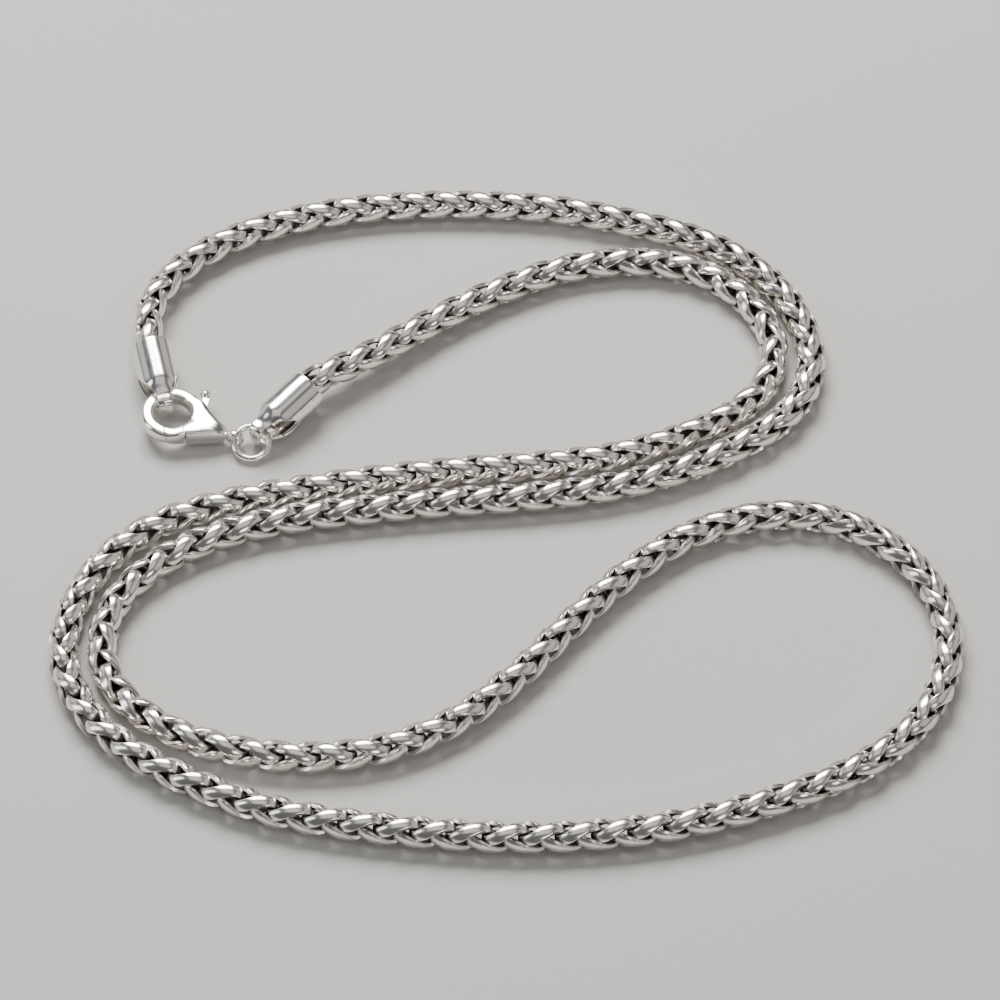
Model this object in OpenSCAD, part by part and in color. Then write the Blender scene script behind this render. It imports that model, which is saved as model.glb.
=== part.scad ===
// Wheat chain necklace: a woven link chain with two tube end caps, a lobster clasp and a jump ring.
// It lies fastened on a flat surface, laid out in a doubled S. Millimetres, +Z up, surface at z = 0.

/* [Chain] */
// Width of the laid chain from left to right, between the outermost points of its middle line
lay_width = 85; // [82:1:110]
// Width of the chain, across the flats of its eight-sided tube
chain_d = 3.0; // [2.6:0.1:3.2]
// Length of chain that stands inside each end cap
chain_seat = 0.8; // [0.4:0.1:1.6]

/* [End caps] */
// Length of an end cap from its mouth to the end of its loop
cap_len = 7.9; // [7.6:0.1:9]
// Length of a cap's round tube, before its tongues close in
cap_tube_len = 4.7; // [4.2:0.1:4.9]
// Wall of an end cap
cap_wall = 0.35; // [0.25:0.05:0.45]
// Radial clearance between a cap and the chain in it
cap_fit = 0.08; // [0.05:0.01:0.15]
// Height of the cap's end loop, over both tongues
loop_h = 2.9; // [2.7:0.1:3.1]
// Width of the strap that forms the end loop
strap_w = 1.5; // [1.0:0.1:1.8]
// How far a lying cap's tip points down, in degrees
cap_pitch = 6.5; // [4:0.5:7]

/* [Clasp] */
// Radius of the hook, to the middle of its bar
hook_r = 2.6; // [2.4:0.1:3.0]
// Width of the hook's bar, seen from above
hook_w = 1.05; // [0.8:0.05:1.2]
// Thickness of the hook's bar
hook_h = 1.45; // [1.1:0.05:1.5]
// Thickness of the clasp's body
body_h = 2.0; // [1.7:0.1:2.2]
// Distance from the hook's centre to the body's neck
neck_x = 5.9; // [5.6:0.1:6.6]
// Width of the neck
neck_w = 0.84; // [0.7:0.02:1.0]
// Outer radius of the tail eye
eye_r = 0.95; // [0.9:0.05:1.1]
// Radius of the hole in the tail eye
eye_hole_r = 0.5; // [0.46:0.02:0.55]
// Thickness of the tail eye
eye_t = 0.7; // [0.5:0.1:0.9]

/* [Lever] */
// Radius of the rivet that the lever turns on
pin_r = 0.35; // [0.25:0.05:0.4]
// Radial clearance of the rivet in the lever
pin_fit = 0.04; // [0.02:0.01:0.08]
// Thickness of the lever's plate
plate_t = 0.9; // [0.6:0.1:1.0]
// Width of the lever's arms
arm_w = 0.6; // [0.4:0.05:0.7]
// Clearance round the lever in the body's slot, and at both of the gate's seams
lever_gap = 0.08; // [0.06:0.01:0.12]
// Radius of the thumb knob
knob_r = 0.56; // [0.45:0.01:0.65]
// How far the lever opens, in degrees
lever_open = 22; // [12:1:24]

/* [Jump ring] */
// Outside diameter of the jump ring
ring_od = 4.1; // [4.0:0.1:4.5]
// Wire of the jump ring
ring_wire = 0.65; // [0.5:0.05:0.66]
// Tilt of the jump ring, near side down, in degrees
ring_tilt = 17.5; // [16:0.5:18]

/* [Hidden] */
silver = [0.86, 0.85, 0.83];
smooth = 96;
small_gap = 0.02;

// The chain's route over the surface, from the left cap's mouth round to the right cap's mouth, 85 mm wide.
lay_scale = lay_width / 85;
route = lay_scale * [
    [-36.5, 25], [-34.5, 29.5], [-30.5, 33.5], [-25, 36.5], [-18, 38.5], [-10.5, 39.5],
    [-2.5, 39.5], [5.5, 39], [13, 37], [19.5, 35], [25, 31.5], [29, 26.5], [31, 20.5],
    [30.5, 15], [27.5, 10.5], [22.5, 7], [16.5, 4], [9.5, 2], [2, 1], [-6, 0.5],
    [-14, -0.5], [-21.5, -1.5], [-28.5, -3.5], [-34.5, -7], [-38.5, -12], [-39.5, -18],
    [-37, -23.5], [-32, -27.5], [-26, -29.5], [-19, -30.5], [-11.5, -29.5], [-5, -26.5],
    [1, -21], [6, -14.5], [11.5, -8.5], [17.5, -3.5], [24.5, -1], [31.5, -1], [37.5, -4.5],
    [41.5, -9.5], [43, -15.5], [42, -22], [38.5, -27.5], [33, -32], [26, -35],
    [18.5, -37.5], [10.5, -39], [2, -39.5], [-6.5, -39], [-14.5, -38], [-22.5, -36.5],
    [-29, -33.5], [-35.5, -30], [-40.5, -25], [-43, -19], [-42.5, -12.5], [-39.5, -6.5],
    [-34.5, -2], [-27.5, 0.5], [-20, 2], [-12, 3.5], [-4, 4.5], [3.5, 5], [11, 6],
    [17.5, 8.5], [23, 11.5], [26.5, 15.5], [27.5, 21.5], [24.5, 27], [19.5, 31], [13, 32],
    [6, 31], [-0.5, 28], [-7, 24], [-13, 19],
];
// Height that the chain still has over its lying height at the route's first and last points, nearest first.
end_lift = [0.7, 0.2];

// Where the left cap's mouth stands, and which way each cap points.
left_mouth = lay_scale * [-35.8, 19.4];
left_turn = -76.5;
right_turn = 227.5;

// End cap
chain_r = chain_d / 2;
chain_corner_r = chain_r / cos(22.5);
cap_bore_r = chain_corner_r + cap_fit;
cap_r = cap_bore_r + cap_wall;
loop_r = loop_h / 2;
nose_l = 0.75;
nose_x = cap_len - nose_l;
mouth_z = cap_r * cos(cap_pitch) + cap_tube_len * sin(cap_pitch) + small_gap;
scoop_start = cap_tube_len - 1.3;
scoop_end = nose_x - 0.25;
cap_cells = 16;
cap_steps = 7;

// Clasp, in its own frame: the hook's centre at the origin, +X to the tail, +Z through its thickness.
clasp_turn = -21;
clasp_pitch = 5;
held_angle = 135;
held_x = cap_len - 1.88;
ring_in = hook_r - hook_w / 2;
ring_out = hook_r + hook_w / 2;
eye_x = neck_x + eye_r - 0.1;
hook_start = 62;
hook_end = 285;

// Lever: its rivet, and the two seams of its gate, which are arcs round that rivet.
pivot = [ring_out - 0.125, -0.95];
tip_r = hook_r + 0.55;
root_r = 1.3;
hub_r = pin_r + 0.4;
link_w = arm_w + 0.1;
link_angle = 223;
knob_arm = 4.1;
knob_angle = 99.5;
knob_lean = -65;
neck_r = 0.28;
neck_l = 1.0;
knob_at = [-0.97, 4.68];

// Jump ring: the angles at which it passes through the tail eye and through the right cap's loop.
ring_r = (ring_od - ring_wire) / 2;
ring_at_eye = 164;
ring_at_loop = 40;
grip_x = cap_len - 1.55;

function ease(t) = t <= 0 ? 0 : t >= 1 ? 1 : (1 - cos(180 * t)) / 2;
function unit(v) = v / norm(v);
function flat(v) = [v.x, v.y];
function heading(a) = [cos(a), sin(a)];

// A point on a lying cap's axis, x along it from the mouth.
function cap_point(mouth, turn, x) =
    let (p = mouth + x * cos(cap_pitch) * heading(turn))
    [p.x, p.y, mouth_z - x * sin(cap_pitch)];

// A point of the clasp's own frame turned as the clasp lies, without its place.
function clasp_turned(p) =
    let (x = p.x * cos(clasp_pitch) + p.z * sin(clasp_pitch), z = p.z * cos(clasp_pitch) - p.x * sin(clasp_pitch))
    [x * cos(clasp_turn) - p.y * sin(clasp_turn), x * sin(clasp_turn) + p.y * cos(clasp_turn), z];

// A point of the jump ring's middle line, from its centre.
function ring_offset(a) = ring_r * [cos(a), sin(a) * cos(ring_tilt), sin(a) * sin(ring_tilt)];

held_local = hook_r * heading(held_angle);
clasp_at = cap_point(left_mouth, left_turn, held_x) - clasp_turned([held_local.x, held_local.y, 0]);
eye_at = clasp_at + clasp_turned([eye_x, 0, 0]);
ring_at = eye_at + [0, 0, small_gap] - ring_offset(ring_at_eye);
right_mouth = flat(ring_at + ring_offset(ring_at_loop)) - grip_x * cos(cap_pitch) * heading(right_turn);

// Chain: the route with its two ends on the caps' axes, smoothed, with a ring of eight corners at each point.
function lift(i, n) = i < len(end_lift) ? end_lift[i] : n - 1 - i < len(end_lift) ? end_lift[n - 1 - i] : 0;
function end_points(mouth, turn) = [cap_point(mouth, turn, chain_seat), cap_point(mouth, turn, -1.5)];
left_ends = end_points(left_mouth, left_turn);
right_ends = end_points(right_mouth, right_turn);
knots = concat(
    left_ends,
    [for (i = [0 : len(route) - 1]) [route[i].x, route[i].y, chain_r + lift(i, len(route))]],
    [right_ends[1], right_ends[0]]
);
last = len(knots) - 1;
function is_end(i) = i < 2 || i > last - 2;
function centre(i) = is_end(i) ? knots[i] : (knots[i - 1] + 4 * knots[i] + knots[i + 1]) / 6;
function along(i) =
    i < 2 ? unit(knots[1] - knots[0]) :
    i > last - 2 ? unit(knots[last] - knots[last - 1]) :
    unit(centre(i + 1) - centre(i - 1));
function chain_ring(i) =
    let (t = along(i), side = unit(cross([0, 0, 1], t)), up = cross(t, side), c = centre(i))
    [for (k = [0 : 7]) c + chain_corner_r * (cos(22.5 + 45 * k) * side + sin(22.5 + 45 * k) * up)];

// Faces of a skin over rows of points, n points a row, with both ends closed.
function skin_faces(rows, n) = concat(
    [[for (k = [0 : n - 1]) k]],
    [for (i = [0 : rows - 2]) for (k = [0 : n - 1])
        let (a = i * n + k, b = i * n + (k + 1) % n)
        each [[a, a + n, b], [b, a + n, b + n]]],
    [[for (k = [n - 1 : -1 : 0]) (rows - 1) * n + k]]
);

// End cap, x from the mouth: half its height outside, and how far round its sides the scoops reach, as an angle.
function half_height(x) =
    cap_r + (loop_r - cap_r) * ease((x - cap_tube_len) / (nose_x - cap_tube_len));
function scoop_angle(x) =
    acos(1 - (1 - strap_w / 2 / cap_r) * ease((x - scoop_start) / (scoop_end - scoop_start)));

// Stations from the mouth to the loop's tip: [x, angle round the nose].
cap_stations = concat(
    [[0, 0], [scoop_start / 2, 0]],
    [for (k = [0 : cap_steps]) [scoop_start + (nose_x - scoop_start) * k / cap_steps, 0]],
    [for (a = [18 : 18 : 90]) [nose_x, a]]
);
split_row = 2;
tip_row = len(cap_stations) - 1;

// A point of a tongue: t runs across it from 0 to 1, up is 1 for the upper tongue and -1 for the lower.
function tongue_point(station, t, wall, up) =
    let (
        start = scoop_angle(station.x),
        a = start + (180 - 2 * start) * t,
        reach = (half_height(station.x) - wall) * sin(a)
    )
    [station.x + (nose_l - wall) * sin(a) * sin(station.y), (cap_r - wall) * cos(a), up * reach * cos(station.y)];

// Number of a point in the cap's list. The tongues share their edges up to the scoops, and the whole tip row.
function cap_index(row, k, inner, lower) =
    let (shared = row == tip_row || (row <= split_row && (k == 0 || k == cap_cells)))
    (lower && !shared ? 2 : 0) * len(cap_stations) * (cap_cells + 1)
    + (inner ? 1 : 0) * len(cap_stations) * (cap_cells + 1) + row * (cap_cells + 1) + k;
function quad(a, b, c, d, turned) = turned ? [[a, b, c], [a, c, d]] : [[a, c, b], [a, d, c]];

// One end cap along +X, its mouth at the origin: a tube scooped on both sides, its two tongues joined in a loop.
module end_cap() {
    points = [
        for (up = [1, -1]) for (wall = [0, cap_wall]) for (station = cap_stations)
            for (k = [0 : cap_cells]) tongue_point(station, k / cap_cells, wall, up)
    ];
    walls = [
        for (lower = [false, true]) for (inner = [false, true])
            for (row = [0 : tip_row - 1]) for (k = [0 : cap_cells - 1])
                each quad(
                    cap_index(row, k, inner, lower), cap_index(row, k + 1, inner, lower),
                    cap_index(row + 1, k + 1, inner, lower), cap_index(row + 1, k, inner, lower),
                    lower != inner
                )
    ];
    mouth_rim = [
        for (lower = [false, true]) for (k = [0 : cap_cells - 1])
            each quad(
                cap_index(0, k, true, lower), cap_index(0, k + 1, true, lower),
                cap_index(0, k + 1, false, lower), cap_index(0, k, false, lower), lower
            )
    ];
    edges = [
        for (lower = [false, true]) for (k = [0, cap_cells]) for (row = [split_row : tip_row - 1])
            each quad(
                cap_index(row, k, false, lower), cap_index(row + 1, k, false, lower),
                cap_index(row + 1, k, true, lower), cap_index(row, k, true, lower),
                lower != (k > 0)
            )
    ];
    polyhedron(points, concat(walls, mouth_rim, edges));
}

module place_cap(mouth, turn) {
    translate([mouth.x, mouth.y, mouth_z]) rotate([0, cap_pitch, turn]) children();
}

module place_clasp() {
    translate(clasp_at) rotate([0, clasp_pitch, clasp_turn]) children();
}

// The hook's bar round an arc of the hook's circle: flat-sided, with round edges.
module hook_bar(from, to) {
    r = hook_w / 2;
    rise = hook_h / 2 - r;
    rotate([0, 0, from]) rotate_extrude(angle = to - from, $fn = smooth) translate([hook_r, 0]) {
        translate([0, rise]) circle(r, $fn = smooth);
        translate([0, -rise]) circle(r, $fn = smooth);
        translate([-r, -rise]) square([hook_w, 2 * rise]);
    }
}

// The body's outline: the hook's disc drawn out to the neck, open inside the hook and on the hook's side.
module body_outline() {
    neck = [neck_x, neck_w / 2];
    touch = acos(ring_out / norm(neck)) + atan2(neck.y, neck.x);
    t = ring_out * heading(touch);
    difference() {
        union() {
            circle(ring_out, $fn = smooth);
            polygon([[0, 0], [t.x, -t.y], [neck.x, -neck.y], neck, t]);
        }
        circle(ring_in, $fn = smooth);
        polygon([[0, 0], 8 * heading(hook_start + 8), [-8, 8], [-8, -8], 8 * heading(-50)]);
        difference() {
            polygon([[0, 0], 8 * heading(-80), 8 * heading(-27)]);
            translate(pivot) circle(root_r, $fn = smooth);
        }
    }
}

// What a straight arm of the lever sweeps as it opens, seen from above, with the slot's clearance.
module arm_sweep(angle, width, length) {
    h = width / 2 + lever_gap;
    shut = heading(angle);
    open = heading(angle - lever_open);
    translate(pivot) polygon([
        h * [-shut.y, shut.x], h * [-shut.y, shut.x] + length * shut,
        h * [open.y, -open.x] + length * open, h * [open.y, -open.x]
    ]);
}

module slot() {
    linear_extrude(plate_t + 2 * lever_gap, center = true) {
        translate(pivot) circle(hub_r + lever_gap, $fn = smooth);
        arm_sweep(knob_angle, arm_w, 6);
        arm_sweep(link_angle, link_w, 2);
    }
}

module tail_eye() {
    translate([eye_x, 0, 0]) rotate([90, 0, 0]) difference() {
        cylinder(eye_t, r = eye_r, center = true, $fn = smooth);
        cylinder(eye_t + 1, r = eye_hole_r, center = true, $fn = smooth);
    }
}

module chain() {
    color(silver)
        polyhedron([for (i = [0 : last]) each chain_ring(i)], skin_faces(last + 1, 8));
}

module left_end_cap() {
    color(silver) place_cap(left_mouth, left_turn) end_cap();
}

module right_end_cap() {
    color(silver) place_cap(right_mouth, right_turn) end_cap();
}

module clasp_body() {
    color(silver) place_clasp() {
        difference() {
            linear_extrude(body_h, center = true) body_outline();
            slot();
            translate(pivot) cylinder(body_h + 1, r = pin_r, center = true, $fn = smooth);
        }
        difference() {
            hook_bar(hook_start, hook_end);
            translate(pivot) cylinder(hook_h + 1, r = tip_r + lever_gap, center = true, $fn = smooth);
            slot();
        }
        tail_eye();
    }
}

module lever_form() {
    difference() {
        intersection() {
            hook_bar(270, 333);
            translate(pivot) cylinder(hook_h + 1, r = tip_r, center = true, $fn = smooth);
        }
        translate(pivot) cylinder(hook_h + 1, r = root_r + lever_gap, center = true, $fn = smooth);
    }
    translate(pivot) {
        cylinder(plate_t, r = hub_r, center = true, $fn = smooth);
        rotate([0, 0, link_angle]) translate([0, -link_w / 2, -plate_t / 2]) cube([1.9, link_w, plate_t]);
        rotate([0, 0, knob_angle]) translate([0, -arm_w / 2, -plate_t / 2]) cube([knob_arm, arm_w, plate_t]);
        translate(knob_at) rotate([0, 90, knob_lean]) cylinder(neck_l, r = neck_r, $fn = smooth);
        translate(knob_at) sphere(knob_r, $fn = smooth);
    }
}

module clasp_lever() {
    color(silver) place_clasp() difference() {
        lever_form();
        translate(pivot) cylinder(hook_h + 1, r = pin_r + pin_fit, center = true, $fn = smooth);
    }
}

module lever_pin() {
    color(silver) place_clasp() translate(pivot)
        cylinder(body_h - 2 * small_gap, r = pin_r - small_gap / 2, center = true, $fn = smooth);
}

module jump_ring() {
    color(silver) translate(ring_at) rotate([ring_tilt, 0, 0])
        rotate_extrude($fn = smooth) translate([ring_r, 0]) circle(ring_wire / 2, $fn = smooth);
}

chain();
left_end_cap();
right_end_cap();
clasp_body();
clasp_lever();
lever_pin();
jump_ring();
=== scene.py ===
"""A wheat chain necklace: woven links, two tube end caps, a lobster clasp and a jump ring, laid in a doubled S."""
import math
import random

import bpy
import numpy as np
from mathutils import Matrix, Vector


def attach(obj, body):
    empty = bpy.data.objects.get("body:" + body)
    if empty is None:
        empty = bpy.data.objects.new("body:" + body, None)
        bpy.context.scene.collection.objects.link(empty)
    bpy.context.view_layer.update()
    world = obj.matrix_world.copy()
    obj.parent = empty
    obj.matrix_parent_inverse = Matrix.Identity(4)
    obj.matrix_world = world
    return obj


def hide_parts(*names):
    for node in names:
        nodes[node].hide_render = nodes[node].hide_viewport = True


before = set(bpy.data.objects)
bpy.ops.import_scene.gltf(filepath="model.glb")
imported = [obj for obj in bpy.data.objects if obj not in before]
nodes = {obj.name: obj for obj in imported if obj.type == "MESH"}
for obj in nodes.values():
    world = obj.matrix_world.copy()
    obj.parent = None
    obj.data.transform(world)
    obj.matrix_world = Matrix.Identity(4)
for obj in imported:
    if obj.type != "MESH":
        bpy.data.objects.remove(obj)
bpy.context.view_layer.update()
bpy.ops.object.select_all(action="DESELECT")
random.seed(7)

MM = 0.001


# Camera and studio

CAMERA_RISE, CAMERA_AWAY, CAMERA_LENS = 52, 0.4855, 177.3


def add_camera():
    """The photograph's view: from the front, looking down on the surface."""
    aim = Vector((-0.645, 0.729, 1.5)) * MM
    rise = math.radians(CAMERA_RISE)
    away = Vector((0, -math.cos(rise), math.sin(rise)))
    data = bpy.data.cameras.new("camera")
    data.lens = CAMERA_LENS
    data.sensor_width = 36
    data.clip_start = 0.01
    camera = bpy.data.objects.new("camera", data)
    bpy.context.scene.collection.objects.link(camera)
    camera.location = aim + CAMERA_AWAY * away
    camera.rotation_euler = (math.radians(90) - rise, 0, 0)
    bpy.context.scene.camera = camera


# Each softbox faces the middle of the layout: its name, place, size, power and colour.
SOFTBOXES = [
    ("key_softbox", (-0.10, 0.42, 0.50), (0.42, 0.30), 9.0, (1.0, 0.975, 0.94)),
    ("top_fill", (0.0, -0.06, 0.60), (0.50, 0.34), 0.35, (1.0, 0.98, 0.96)),
    ("left_strip", (-0.45, -0.05, 0.22), (0.12, 0.40), 0.6, (0.96, 0.98, 1.0)),
    ("back_left_panel", (-0.55, 0.42, 0.26), (0.55, 0.36), 0.38, (0.97, 0.98, 1.0)),
    ("back_right_panel", (0.55, 0.42, 0.30), (0.55, 0.42), 0.35, (1.0, 0.94, 0.88)),
    ("right_panel", (0.56, -0.06, 0.36), (0.46, 0.50), 0.34, (1.0, 0.93, 0.86)),
    ("front_fill", (0.22, -0.42, 0.34), (0.22, 0.14), 0.5, (1.0, 0.97, 0.93)),
]


def add_softbox(name, place, size, power, colour):
    data = bpy.data.lights.new(name, "AREA")
    data.shape = "RECTANGLE"
    data.size, data.size_y = size
    data.energy = power
    data.color = colour
    lamp = bpy.data.objects.new(name, data)
    bpy.context.scene.collection.objects.link(lamp)
    lamp.location = place
    lamp.rotation_euler = (-Vector(place)).to_track_quat("-Z", "Y").to_euler()


def add_studio():
    for softbox in SOFTBOXES:
        add_softbox(*softbox)
    world = bpy.data.worlds.new("studio")
    world.use_nodes = True
    background = world.node_tree.nodes["Background"]
    background.inputs["Color"].default_value = (0.86, 0.89, 0.93, 1)
    background.inputs["Strength"].default_value = 0.14
    bpy.context.scene.world = world


# Materials

class Val:
    """A node's output that can be used in an expression."""

    def __init__(self, tree, socket):
        self.tree, self.socket = tree, socket

    def _math(self, operation, *values):
        return node(self.tree, "ShaderNodeMath", {"operation": operation}, {i: v for i, v in enumerate(values)})

    def __add__(self, other):
        return self._math("ADD", self, other)

    def __radd__(self, other):
        return self._math("ADD", other, self)

    def __sub__(self, other):
        return self._math("SUBTRACT", self, other)

    def __rsub__(self, other):
        return self._math("SUBTRACT", other, self)

    def __mul__(self, other):
        return self._math("MULTIPLY", self, other)

    def __rmul__(self, other):
        return self._math("MULTIPLY", other, self)


def node(tree, kind, settings=None, values=None, output=0):
    """Adds a node: its settings first, then its sockets' values or links."""
    made = tree.nodes.new(kind)
    for key, value in (settings or {}).items():
        if key == "stops":
            ramp = made.color_ramp
            while len(ramp.elements) < len(value):
                ramp.elements.new(0.5)
            for element, (place, colour) in zip(ramp.elements, value):
                element.position, element.color = place, colour
        else:
            setattr(made, key, value)
    for key, value in (values or {}).items():
        if isinstance(value, Val):
            tree.links.new(value.socket, made.inputs[key])
        else:
            made.inputs[key].default_value = value
    return Val(tree, made.outputs[output])


def new_material(name):
    material = bpy.data.materials.new(name)
    material.use_nodes = True
    tree = material.node_tree
    return material, tree, tree.nodes["Principled BSDF"]


def silver(name, bright, dark, roughness, scratch, recess_shade=False):
    """Polished silver with hairline scratches, cloudy patches of wear and, for the links, painted shade in the
    chain's recesses and on the wire's inner sides.
    """
    material, tree, shader = new_material(name)
    place = node(tree, "ShaderNodeTexCoord", output="Object")
    cloud = node(tree, "ShaderNodeTexNoise", {}, {"Vector": place, "Scale": 900.0, "Detail": 3.0})
    fine = node(tree, "ShaderNodeTexNoise", {}, {"Vector": place, "Scale": 5200.0, "Detail": 2.0})
    drawn = {"Vector": place, "Rotation": (0.3, 0.5, 0.7), "Scale": (1, 9, 4)}
    stretch = node(tree, "ShaderNodeMapping", {}, drawn)
    hair = node(tree, "ShaderNodeTexNoise", {}, {"Vector": stretch, "Scale": 2600.0, "Detail": 2.0})
    shade = cloud
    # Painted shade for the links: the base colour goes near black, and rougher, deep in the chain and on the wire's
    # inner sides.
    if recess_shade:
        open_air = node(tree, "ShaderNodeAttribute", {"attribute_name": "open_air"}, output="Fac")
        shade = open_air * 0.85 + cloud * 0.3
    tint = node(tree, "ShaderNodeValToRGB", {"stops": [(0.12, dark), (0.55, bright)]}, {"Fac": shade})
    tree.links.new(tint.socket, shader.inputs["Base Color"])
    rough = roughness + (cloud - 0.5) * 0.10 + (hair - 0.5) * 0.08
    if recess_shade:
        rough = rough + (1 - open_air) * 0.22
    tree.links.new(rough.socket, shader.inputs["Roughness"])
    relief = {"Height": hair * 0.6 + fine * 0.4, "Strength": scratch, "Distance": 2e-5}
    bump = node(tree, "ShaderNodeBump", {}, relief, output="Normal")
    tree.links.new(bump.socket, shader.inputs["Normal"])
    shader.inputs["Metallic"].default_value = 1.0
    return material


def pale_floor():
    material, tree, shader = new_material("pale_floor")
    shader.inputs["Base Color"].default_value = (0.50, 0.49, 0.475, 1)
    shader.inputs["Roughness"].default_value = 0.85
    return material


# Shaping helpers

def power(value, exponent):
    return math.copysign(abs(value) ** exponent, value)


def mesh_object(name, points, faces):
    mesh = bpy.data.meshes.new(name)
    mesh.from_pydata([tuple(p) for p in points], [], faces)
    mesh.update()
    made = bpy.data.objects.new(name, mesh)
    bpy.context.scene.collection.objects.link(made)
    return made


def only(thing):
    bpy.ops.object.select_all(action="DESELECT")
    thing.select_set(True)
    bpy.context.view_layer.objects.active = thing


def join(things):
    bpy.ops.object.select_all(action="DESELECT")
    for thing in things:
        thing.select_set(True)
    bpy.context.view_layer.objects.active = things[0]
    bpy.ops.object.join()
    return bpy.context.object


def weld(thing):
    only(thing)
    bpy.ops.object.mode_set(mode="EDIT")
    bpy.ops.mesh.select_all(action="SELECT")
    bpy.ops.mesh.remove_doubles(threshold=1e-4)
    bpy.ops.object.mode_set(mode="OBJECT")


def outward(thing):
    only(thing)
    bpy.ops.object.mode_set(mode="EDIT")
    bpy.ops.mesh.select_all(action="SELECT")
    bpy.ops.mesh.normals_make_consistent(inside=False)
    bpy.ops.object.mode_set(mode="OBJECT")


def apply_modifier(thing, kind, name, **settings):
    only(thing)
    modifier = thing.modifiers.new(name, kind)
    for key, value in settings.items():
        setattr(modifier, key, value)
    bpy.ops.object.modifier_apply(modifier=modifier.name)


def finish_piece(thing, body, material, *replaced, crease=38):
    """Settles a piece: its place goes into its mesh, and it rides on its body in the place of its nodes."""
    only(thing)
    bpy.ops.object.transform_apply(location=True, rotation=True, scale=True)
    thing.data.materials.clear()
    thing.data.materials.append(material)
    bpy.ops.object.shade_smooth_by_angle(angle=math.radians(crease))
    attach(thing, body)
    if replaced:
        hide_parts(*replaced)


# Chain: the tube's own route, and a link at every half pitch of it

LEFT_END = [(-0.035614, 0.018627, 0.002502), (-0.036148, 0.020849, 0.002762)]
RIGHT_END = [(-0.018826, 0.015156, 0.002762), (-0.02037, 0.013471, 0.002502)]
CHAIN_R = 0.0015
END_LIFT = [0.0007, 0.0002]
ROUTE = [
    (-0.0365, 0.025), (-0.0345, 0.0295), (-0.0305, 0.0335), (-0.025, 0.0365), (-0.018, 0.0385),
    (-0.0105, 0.0395), (-0.0025, 0.0395), (0.0055, 0.039), (0.013, 0.037), (0.0195, 0.035), (0.025, 0.0315),
    (0.029, 0.0265), (0.031, 0.0205), (0.0305, 0.015), (0.0275, 0.0105), (0.0225, 0.007), (0.0165, 0.004),
    (0.0095, 0.002), (0.002, 0.001), (-0.006, 0.0005), (-0.014, -0.0005), (-0.0215, -0.0015),
    (-0.0285, -0.0035), (-0.0345, -0.007), (-0.0385, -0.012), (-0.0395, -0.018), (-0.037, -0.0235),
    (-0.032, -0.0275), (-0.026, -0.0295), (-0.019, -0.0305), (-0.0115, -0.0295), (-0.005, -0.0265),
    (0.001, -0.021), (0.006, -0.0145), (0.0115, -0.0085), (0.0175, -0.0035), (0.0245, -0.001), (0.0315, -0.001),
    (0.0375, -0.0045), (0.0415, -0.0095), (0.043, -0.0155), (0.042, -0.022), (0.0385, -0.0275), (0.033, -0.032),
    (0.026, -0.035), (0.0185, -0.0375), (0.0105, -0.039), (0.002, -0.0395), (-0.0065, -0.039),
    (-0.0145, -0.038), (-0.0225, -0.0365), (-0.029, -0.0335), (-0.0355, -0.03), (-0.0405, -0.025),
    (-0.043, -0.019), (-0.0425, -0.0125), (-0.0395, -0.0065), (-0.0345, -0.002), (-0.0275, 0.0005),
    (-0.02, 0.002), (-0.012, 0.0035), (-0.004, 0.0045), (0.0035, 0.005), (0.011, 0.006), (0.0175, 0.0085),
    (0.023, 0.0115), (0.0265, 0.0155), (0.0275, 0.0215), (0.0245, 0.027), (0.0195, 0.031), (0.013, 0.032),
    (0.006, 0.031), (-0.0005, 0.028), (-0.007, 0.024), (-0.013, 0.019),
]

# How the chain is rolled about its own line at some of the route's points: the angle, in degrees, from straight up
# over to the right of travel, of the side on which the links' arms meet in a V.
ROLL = [
    (0, 40), (5, 58), (9, 48), (12.5, 0), (16, -52), (20, -58), (25, -90), (29, -122), (34, -126), (40, -180),
    (45, -236), (50, -240), (55, -270), (60, -302), (63, -304), (67, -360), (70, -414), (74, -418),
]

# A link reaches forward and back from its middle, and to each side of it. Links of the two hands take turns,
# half a pitch apart. A bend under 1 makes that end of the link squarer than an ellipse.
LINK_PITCH = 0.00341
LINK_FRONT, LINK_BACK, LINK_REACH = 0.00222, 0.00188, 0.00129
FRONT_BEND, BACK_BEND = 0.92, 0.74
LINK_TWIST, TWIST_EASE = math.radians(82), 0.36
LINK_STATIONS, LINK_SIDES = 24, 10

# Half the wire's thickness and half its breadth, in millimetres: at the link's ends, and what its arms add.
WIRE_THICK, ARM_THICK = 0.245, 0.035
WIRE_BROAD, ARM_BROAD = 0.28, 0.42
LINK_EDGE = 0.00008

# The painted shade fades out from this share of the chain's radius on, over this share of it.
PAINTED_SHADE_FROM, PAINTED_SHADE_SPAN = 0.5, 0.42
# The wire's inner sides keep only this share of that openness: painted shade, darker where they face into the
# chain.
INNER_SIDE_SHADE = 0.2

# How much a link may be rolled and nodded out of its row, in degrees.
ROLL_PLAY, NOD_PLAY = 3, 1.2


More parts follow.
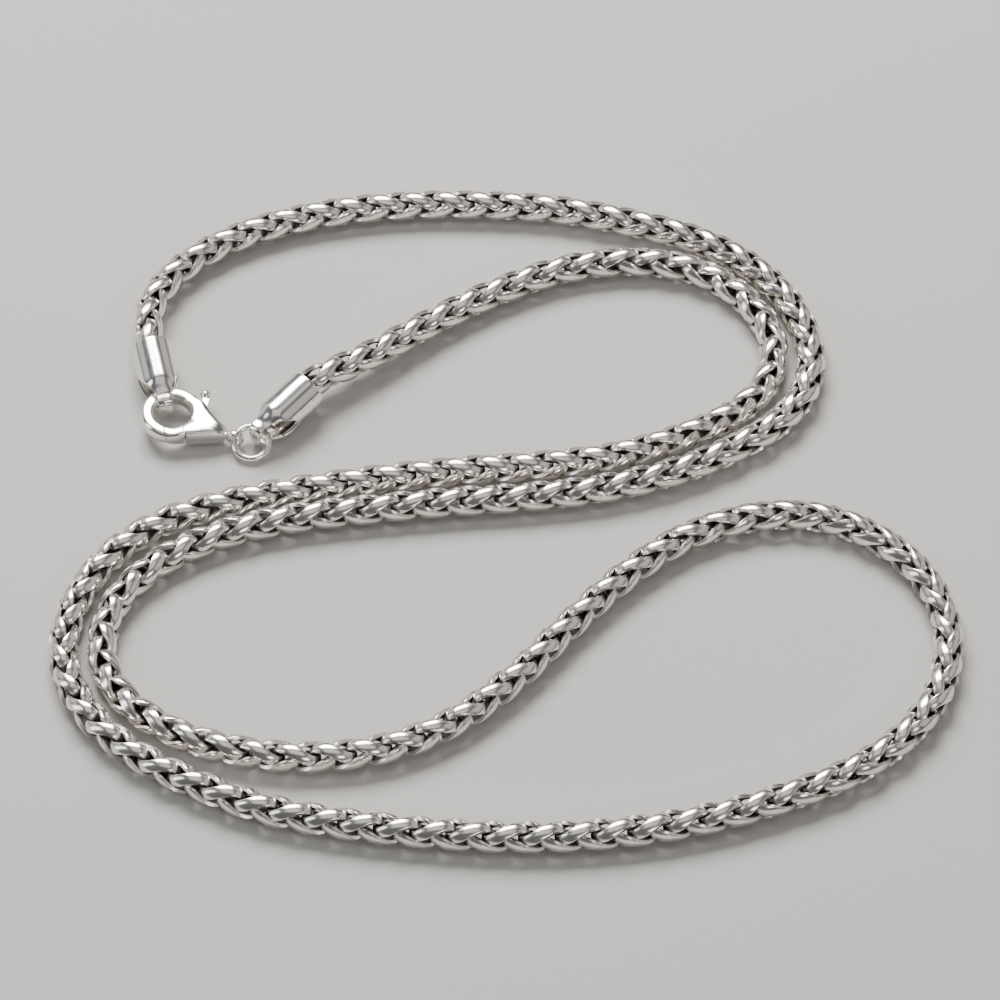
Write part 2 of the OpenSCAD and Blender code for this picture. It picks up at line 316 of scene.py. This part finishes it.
def route_line():
    """The chain's middle line: a smooth curve through the tube's rings, sampled closely, with its roll."""
    last = len(ROUTE) - 1
    lift = {0: END_LIFT[0], 1: END_LIFT[1], last: END_LIFT[0], last - 1: END_LIFT[1]}
    knots = LEFT_END + [(x, y, CHAIN_R + lift.get(i, 0)) for i, (x, y) in enumerate(ROUTE)] + RIGHT_END
    knots = np.array(knots)
    rings = knots.copy()
    rings[2:-2] = (knots[1:-3] + 4 * knots[2:-2] + knots[3:-1]) / 6
    line, places = [], []
    for i in range(len(rings) - 1):
        a, b = rings[max(i - 1, 0)], rings[i]
        c, d = rings[i + 1], rings[min(i + 2, len(rings) - 1)]
        for t in np.linspace(0, 1, 24, endpoint=False):
            line.append(0.5 * (2 * b + (c - a) * t + (2 * a - 5 * b + 4 * c - d) * t**2
                               + (3 * b - a - 3 * c + d) * t**3))
            places.append(i + t - 2)
    line.append(rings[-1])
    places.append(len(rings) - 3)
    line = np.array(line)
    keys, angles = zip(*ROLL)
    roll = np.radians(np.interp(places, keys, angles))
    roll = np.convolve(np.pad(roll, 20, mode="edge"), np.ones(41) / 41, mode="valid")
    run = np.concatenate([[0], np.cumsum(np.linalg.norm(np.diff(line, axis=0), axis=1))])
    return run, line, roll


def link_mesh(hand):
    """One link: an oval ring of wire, beaten broad on its arms and twisted nearly a quarter turn on its way.

    Its shade attribute is 0 deep in the chain and 1 on its outside: painted shade, dark in the chain's recesses and
    darker still on the wire's inner sides.
    """
    bpy.ops.mesh.primitive_torus_add(
        major_segments=LINK_STATIONS, minor_segments=LINK_SIDES, major_radius=1, minor_radius=0.3
    )
    link = bpy.context.object
    open_air = []
    for vertex in link.data.vertices:
        x, y, z = vertex.co
        along, across = math.atan2(y, x), math.atan2(z, math.hypot(x, y) - 1)
        c, s = math.cos(along), math.sin(along)
        half, bend = (LINK_FRONT, FRONT_BEND) if c > 0 else (LINK_BACK, BACK_BEND)
        out = Vector((power(c, 2 - bend) / half, power(s, 2 - bend) / LINK_REACH)).normalized()
        thick = (WIRE_THICK + ARM_THICK * abs(s)) * MM
        broad = (WIRE_BROAD + ARM_BROAD * abs(s) ** 1.4 * (1 - 0.15 * c)) * MM
        crown = 0.5 * broad**2 / CHAIN_R * abs(s)
        outline = [
            (thick, 0), (thick - crown, broad - LINK_EDGE), (thick - crown - LINK_EDGE, broad),
            (-0.5 * thick - crown, 0.95 * broad), (-thick - 0.3 * crown, 0.6 * broad), (-thick, 0),
        ]
        k = round(across / math.tau * LINK_SIDES)
        rise, aside = outline[abs(k)]
        aside = math.copysign(aside, k)
        u = half * power(c, bend) + rise * out.x
        v = LINK_REACH * power(s, bend) + rise * out.y
        t = (u + LINK_BACK) / (LINK_FRONT + LINK_BACK)
        turn = math.pi / 2 - LINK_TWIST * (1 - t + TWIST_EASE * math.sin(math.tau * t) / math.tau)
        vertex.co = (
            u,
            v * math.cos(turn) - aside * math.sin(turn),
            hand * (v * math.sin(turn) + aside * math.cos(turn)),
        )
        # Painted shade: dark deep in the chain, darker still on the wire's inner sides.
        far = (math.hypot(vertex.co.y, vertex.co.z) / CHAIN_R - PAINTED_SHADE_FROM) / PAINTED_SHADE_SPAN
        open_air.append(min(1, max(0, far)) * (INNER_SIDE_SHADE if abs(k) > 2 else 1))
    outward(link)
    link.data.attributes.new("open_air", "FLOAT", "POINT").data.foreach_set("value", open_air)
    return link


def build_chain(material):
    run, line, roll = route_line()
    count = round(run[-1] / (LINK_PITCH / 2)) - 1
    step = run[-1] / (count + 1)
    patterns = [link_mesh(1), link_mesh(-1)]
    links = []
    for n in range(count):
        s = (n + 1) * step
        centre = Vector([np.interp(s, run, line[:, k]) for k in range(3)])
        before, after = (Vector([np.interp(s + d, run, line[:, k]) for k in range(3)]) for d in (-0.0012, 0.0012))
        travel = (after - before).normalized()
        side = Vector((0, 0, 1)).cross(travel).normalized()
        up = travel.cross(side)
        angle = np.interp(s, run, roll) + math.radians(random.uniform(-ROLL_PLAY, ROLL_PLAY))
        meet = math.cos(angle) * up - math.sin(angle) * side
        part = meet.cross(travel)
        turned = Matrix((travel, part, meet)).transposed().to_4x4()
        nod = Matrix.Rotation(math.radians(random.uniform(-NOD_PLAY, NOD_PLAY)), 4, part)
        link = patterns[n % 2].copy()
        link.data = patterns[n % 2].data.copy()
        bpy.context.scene.collection.objects.link(link)
        link.matrix_world = Matrix.Translation(centre) @ nod @ turned
        links.append(link)
    for pattern in patterns:
        bpy.data.objects.remove(pattern)
    chain = join(links)
    chain.name = "chain_links"
    finish_piece(chain, "necklace", material, "chain", crease=43)


# End caps, clasp and jump ring: each is modelled in millimetres in its own frame, then set in its place

CAP_R, CAP_WALL = 2.0536, 0.35
CAP_TUBE, CAP_NOSE, NOSE_REACH = 4.7, 7.15, 0.75
SCOOP_START, SCOOP_END = 3.4, 6.9
STRAP_W, LOOP_R = 1.5, 1.45
LEFT_CAP = ((-35.8, 19.4, 2.5924), -76.5)
RIGHT_CAP = ((-19.833, 14.0571, 2.5924), 227.5)
CAP_PITCH = 6.5

CLASP_AT, CLASP_PITCH, CLASP_TURN = (-33.3527, 11.2113, 1.7507), 5, -21
HOOK_IN, HOOK_OUT = 1.9, 3.125
PIVOT = np.array([3.0, -0.95])
TIP_R, ROOT_R, HUB_R, PLATE, SEAM = 3.15, 1.3, 0.62, 0.9, 0.11
RIVET_BORE = 0.36
LEVER_OPEN = 22
KNOB_ARM = (99.5, 0.6)
GATE_ARM = (215, 0.5)
KNOB, KNOB_R, KNOB_NECK_R, KNOB_NECK_TURN = (2.03, 3.73), 0.56, 0.27, -65

RING_AT, RING_TILT = (-25.4168, 8.348, 1.0394), 17.5
RING_R, RING_WIRE_R = 1.725, 0.325
SEAM_TURN, SEAM_WIRE, SEAM_PINCH = 60, 0.88, 0.72


def ease(t):
    t = min(1, max(0, t))
    return (1 - math.cos(math.pi * t)) / 2


def heading(angle):
    return np.array([math.cos(math.radians(angle)), math.sin(math.radians(angle))])


def lie(place, pitch, turn):
    """The matrix that lays a piece down: millimetres to metres, pitched about its own Y, turned about Z."""
    return (
        Matrix.Scale(MM, 4) @ Matrix.Translation(place)
        @ Matrix.Rotation(math.radians(turn), 4, "Z") @ Matrix.Rotation(math.radians(pitch), 4, "Y")
    )


def cap_point(t, v, up):
    """A point of a cap's sheet, half way through its wall: t across a tongue and v along it, both from 0 to 1.

    The plain tube lies at v up to 0.3, the scooped tongue up to 0.72, and the rounded nose beyond it.
    """
    wall = CAP_WALL / 2
    if v < 0.3:
        x = SCOOP_START * v / 0.3
    else:
        x = SCOOP_START + (CAP_NOSE - SCOOP_START) * min(1, (v - 0.3) / 0.42)
    round_nose = math.radians(90) * max(0, (v - 0.72) / 0.28)
    half_height = CAP_R + (LOOP_R - CAP_R) * ease((x - CAP_TUBE) / (CAP_NOSE - 0.45 - CAP_TUBE)) - wall
    narrow = 1 - STRAP_W / 2 / CAP_R
    start = math.acos(1 - narrow * ease((x - SCOOP_START) / (SCOOP_END - SCOOP_START)))
    a = start + (math.pi - 2 * start) * t
    return (
        x + (NOSE_REACH - wall) * math.sin(a) * power(math.sin(round_nose), 0.8),
        (CAP_R - wall) * math.cos(a),
        up * half_height * math.sin(a) * power(math.cos(round_nose), 0.8),
    )


def build_cap(name, place, turn, material):
    """A tube scooped out on both sides, whose two tongues close in a loop."""
    tongues = []
    for up in (1, -1):
        bpy.ops.mesh.primitive_grid_add(x_subdivisions=24, y_subdivisions=40, size=2)
        tongue = bpy.context.object
        for vertex in tongue.data.vertices:
            t, v = ((c + 1) / 2 for c in vertex.co.xy)
            vertex.co = cap_point(t, v, up)
        tongues.append(tongue)
    cap = join(tongues)
    weld(cap)
    outward(cap)
    apply_modifier(cap, "SOLIDIFY", "wall", thickness=CAP_WALL, offset=0, use_even_offset=True)
    apply_modifier(cap, "BEVEL", "edge", width=0.09, segments=3, limit_method="ANGLE", angle_limit=math.radians(50))
    cap.name = name + "_sheet"
    cap.matrix_world = lie(place, CAP_PITCH, turn)
    finish_piece(cap, "necklace", material, name)


def loft(name, sections):
    """A skin over sections of equally many points, closed at both ends."""
    n = len(sections[0])
    points = [point for section in sections for point in section]
    faces = [list(range(n)), list(range(len(points) - n, len(points)))]
    for i in range(len(sections) - 1):
        for k in range(n):
            a, b = i * n + k, i * n + (k + 1) % n
            faces.append([a, b, b + n, a + n])
    made = mesh_object(name, points, faces)
    outward(made)
    return made


def prism(outline, half):
    """An upright prism over an outline, from -half to half."""
    n = len(outline)
    points = [(x, y, z) for z in (-half, half) for x, y in outline]
    faces = [list(range(n)), list(range(n, 2 * n))] + [[k, (k + 1) % n, (k + 1) % n + n, k + n] for k in range(n)]
    made = mesh_object("cutter", points, faces)
    outward(made)
    return made


def drum(place, radius, half):
    bpy.ops.mesh.primitive_cylinder_add(vertices=72, radius=radius, depth=2 * half, location=(*place, 0))
    return bpy.context.object


def carve(thing, tool, operation="DIFFERENCE"):
    apply_modifier(thing, "BOOLEAN", "carve", operation=operation, object=tool, solver="EXACT")
    bpy.data.objects.remove(tool)


def soften(thing, width):
    corner = math.radians(40)
    apply_modifier(thing, "BEVEL", "edge", width=width, segments=2, limit_method="ANGLE", angle_limit=corner)


def thickness(x):
    """Half the clasp's thickness, x along it from the hook's centre."""
    return 0.72 + 0.26 * ease((x - 0.4) / 2.0) - 0.34 * ease((x - 5.1) / 1.0)


def section(inner, outer, round_in, round_out):
    """A section of the clasp between two points of its plan: a slab with round corners, a little domed."""
    inner, outer = np.array(inner), np.array(outer)
    width = np.linalg.norm(outer - inner)
    across = (outer - inner) / width
    corner = np.radians([90, 67.5, 45, 22.5, 0])
    dome = 0.045 * width
    in_r = min(round_in, width * 0.49)
    out_r = min(round_out, width * 0.49, thickness(outer[0]) - dome - 0.05)
    far = [(width - out_r + out_r * math.sin(a), out_r * (1 - math.cos(a))) for a in corner[::-1]]
    near = [(in_r - in_r * math.sin(a), in_r * (1 - math.cos(a))) for a in corner]
    middle = [(in_r + (width - in_r - out_r) * t, 0) for t in (0.25, 0.5, 0.75)]
    points = []
    for side, row in ((1, near + middle + far), (-1, (near + middle + far)[::-1])):
        for reach, drop in row:
            x, y = inner + across * reach
            low = dome * (2 * reach / width - 1) ** 2
            points.append((x, y, side * (thickness(x) - drop - low)))
    return points


def hook_section(angle):
    return section(HOOK_IN * heading(angle), HOOK_OUT * heading(angle), 0.24, 0.34)


def arm_sweep(angle, width, length):
    """What a straight arm of the lever sweeps as it opens, with its clearance."""
    h = width / 2 + SEAM
    shut, opened = heading(angle), heading(angle - LEVER_OPEN)
    left, right = h * np.array([-shut[1], shut[0]]), h * np.array([opened[1], -opened[0]])
    return [PIVOT + p for p in (left, left + length * shut, right + length * opened, right)]


# The body's plan: angles on the hook's inner circle, and the points of the outer edge that face them. The tail's
# tip is near 0 degrees.
BODY_PLAN = [
    (56, (1.72, 2.66)), (50, (2.05, 2.58)), (44, (2.45, 2.42)), (36, (2.95, 2.17)), (28, (3.50, 1.84)),
    (21, (4.05, 1.50)), (15, (4.60, 1.16)), (9, (5.15, 0.83)), (4, (5.60, 0.56)), (1, (5.88, 0.38)),
    (-1, (5.98, 0.12)), (-3, (5.98, -0.12)), (-5, (5.88, -0.40)), (-8, (5.5, -0.62)), (-12, (5.0, -0.88)),
    (-17, (4.4, -1.19)), (-22, (3.85, -1.47)), (-28, (3.3, -1.74)), (-34, (2.85, -1.93)), (-42, (2.36, -2.1)),
]


def build_clasp_body(material):
    """The hook's bar, which broadens into the body, the slot for the lever, and the tail eye."""
    sections = [hook_section(a) for a in range(296, 60, -4)]
    for angle, edge in BODY_PLAN:
        round_out = 0.34 + 0.5 * ease((56 - angle) / 40) if angle > -4 else 0.16
        sections.append(section(HOOK_IN * heading(angle), edge, 0.25, round_out))
    sections += [hook_section(a) for a in (-49, -56)]
    body = loft("clasp_body_form", sections)
    tip = [PIVOT + (TIP_R + SEAM) * heading(a) for a in range(196, 237, 4)]
    root = [PIVOT + ROOT_R * heading(a) for a in range(252, 180, -6)]
    carve(body, prism(tip + [(2.0, -4.4), (3.2, -3.4)] + root, 3))
    for tool in (
        drum(PIVOT, HUB_R + SEAM, PLATE / 2 + SEAM), prism(arm_sweep(*KNOB_ARM, 6), PLATE / 2 + SEAM),
        prism(arm_sweep(*GATE_ARM, 2), PLATE / 2 + SEAM),
    ):
        carve(body, tool)
    soften(body, 0.05)
    carve(body, drum(PIVOT, RIVET_BORE, 3))
    bpy.ops.mesh.primitive_torus_add(
        major_segments=48, minor_segments=20, major_radius=0.725, minor_radius=0.225,
        location=(6.75, 0, 0), rotation=(math.radians(90), 0, 0),
    )
    eye = bpy.context.object
    eye.scale.z = 1.9
    body = join([body, eye])
    body.matrix_world = lie(CLASP_AT, CLASP_PITCH, CLASP_TURN)
    body.name = "clasp_casting"
    finish_piece(body, "necklace", material, "clasp_body")


def build_lever(material):
    """The gate between its two seams, the hub on the rivet, and the arm with its round thumb knob."""
    gate = loft("gate", [hook_section(a) for a in range(266, 342, 4)])
    carve(gate, drum(PIVOT, TIP_R, 3), "INTERSECT")
    carve(gate, drum(PIVOT, ROOT_R + SEAM, 3))
    soften(gate, 0.06)
    parts = [gate, drum(PIVOT, HUB_R, PLATE / 2)]
    for angle, width, length in ((*GATE_ARM, 1.9), (*KNOB_ARM, 4.1)):
        x, y = PIVOT + length / 2 * heading(angle)
        bpy.ops.mesh.primitive_cube_add(size=1, location=(x, y, 0), rotation=(0, 0, math.radians(angle)))
        bpy.context.object.scale = (length, width, PLATE)
        parts.append(bpy.context.object)
    reach = 0.5 * heading(KNOB_NECK_TURN)
    bpy.ops.mesh.primitive_cylinder_add(
        vertices=24, radius=KNOB_NECK_R, depth=1.0, location=(KNOB[0] + reach[0], KNOB[1] + reach[1], 0),
        rotation=(0, math.radians(90), math.radians(KNOB_NECK_TURN)),
    )
    parts.append(bpy.context.object)
    bpy.ops.mesh.primitive_uv_sphere_add(segments=32, ring_count=20, radius=KNOB_R, location=(*KNOB, 0))
    parts.append(bpy.context.object)
    lever = join(parts)
    lever.matrix_world = lie(CLASP_AT, CLASP_PITCH, CLASP_TURN)
    lever.name = "lever_casting"
    finish_piece(lever, "lever", material, "clasp_lever")


def build_jump_ring(material):
    """A round wire ring with the fine seam where its ends meet."""
    bpy.ops.mesh.primitive_torus_add(
        major_segments=96, minor_segments=20, major_radius=RING_R, minor_radius=RING_WIRE_R
    )
    ring = bpy.context.object
    for vertex in ring.data.vertices:
        x, y, z = vertex.co
        along = math.degrees(math.atan2(y, x)) - SEAM_TURN
        if abs(along) < 1:
            wire = Vector((x, y, 0)).normalized() * RING_R
            vertex.co = wire + SEAM_WIRE * (vertex.co - wire)
        elif abs(along) < 5:
            vertex.co = Matrix.Rotation(math.radians(-SEAM_PINCH * along), 3, "Z") @ vertex.co
    ring.matrix_world = (
        Matrix.Scale(MM, 4) @ Matrix.Translation(RING_AT) @ Matrix.Rotation(math.radians(RING_TILT), 4, "X")
    )
    ring.name = "wire_ring"
    finish_piece(ring, "necklace", material, "jump_ring")


# The stage, and the work in order

def add_floor():
    bpy.ops.mesh.primitive_plane_add(size=3, location=(0, 0, 0))
    floor = bpy.context.object
    floor.name = "floor"
    floor.data.materials.append(pale_floor())


# The links' near-black dark end is painted shade in the chain's recesses and on the wire's inner sides.
link_silver = silver("link_silver", (0.90, 0.86, 0.81, 1), (0.04, 0.03, 0.025, 1), 0.21, 0.12, recess_shade=True)
smooth_silver = silver("smooth_silver", (0.92, 0.895, 0.86, 1), (0.82, 0.79, 0.75, 1), 0.17, 0.06)

add_camera()
add_studio()
add_floor()
build_chain(link_silver)
build_cap("left_end_cap", *LEFT_CAP, smooth_silver)
build_cap("right_end_cap", *RIGHT_CAP, smooth_silver)
build_clasp_body(smooth_silver)
build_lever(smooth_silver)
build_jump_ring(smooth_silver)
nodes["lever_pin"].data.materials.clear()
nodes["lever_pin"].data.materials.append(smooth_silver)
